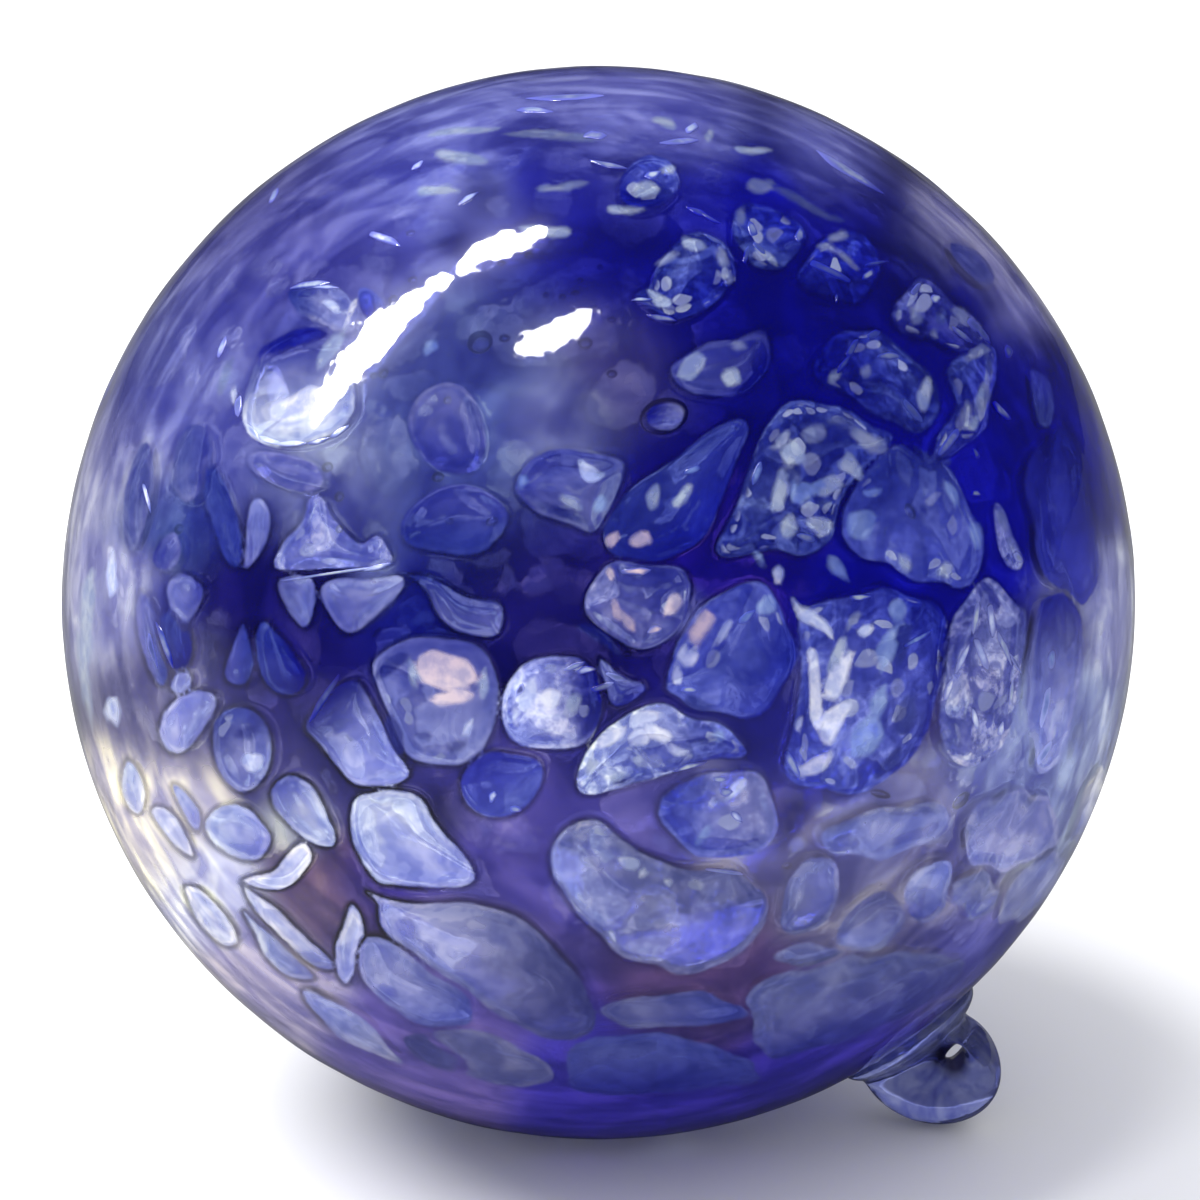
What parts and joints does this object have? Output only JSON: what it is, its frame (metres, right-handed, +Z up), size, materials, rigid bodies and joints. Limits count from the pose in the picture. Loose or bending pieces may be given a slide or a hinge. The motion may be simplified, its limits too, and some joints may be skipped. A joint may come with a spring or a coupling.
{
  "type": "witch ball",
  "caption": "Sealed blown-glass ball with a veined cobalt pattern and an applied glass loop to hang it by, lying on its side on a small flat spot.",
  "frame": {"origin": "middle of the flat spot under the ball, on the surface that it lies on", "axes": "+Z up; +X towards the side where the loop touches down; the loop's eye runs along Y"},
  "size_m": [0.125, 0.125, 0.1243],
  "materials": {
    "glass_ball": "glossy cobalt glass with pale pebbles",
    "hanging_loop": "glossy clear blue-grey glass"
  },
  "bodies": {
    "root": {"glass_ball": "glass_ball", "hanging_loop": "hanging_loop"}
  },
  "joints": []
}
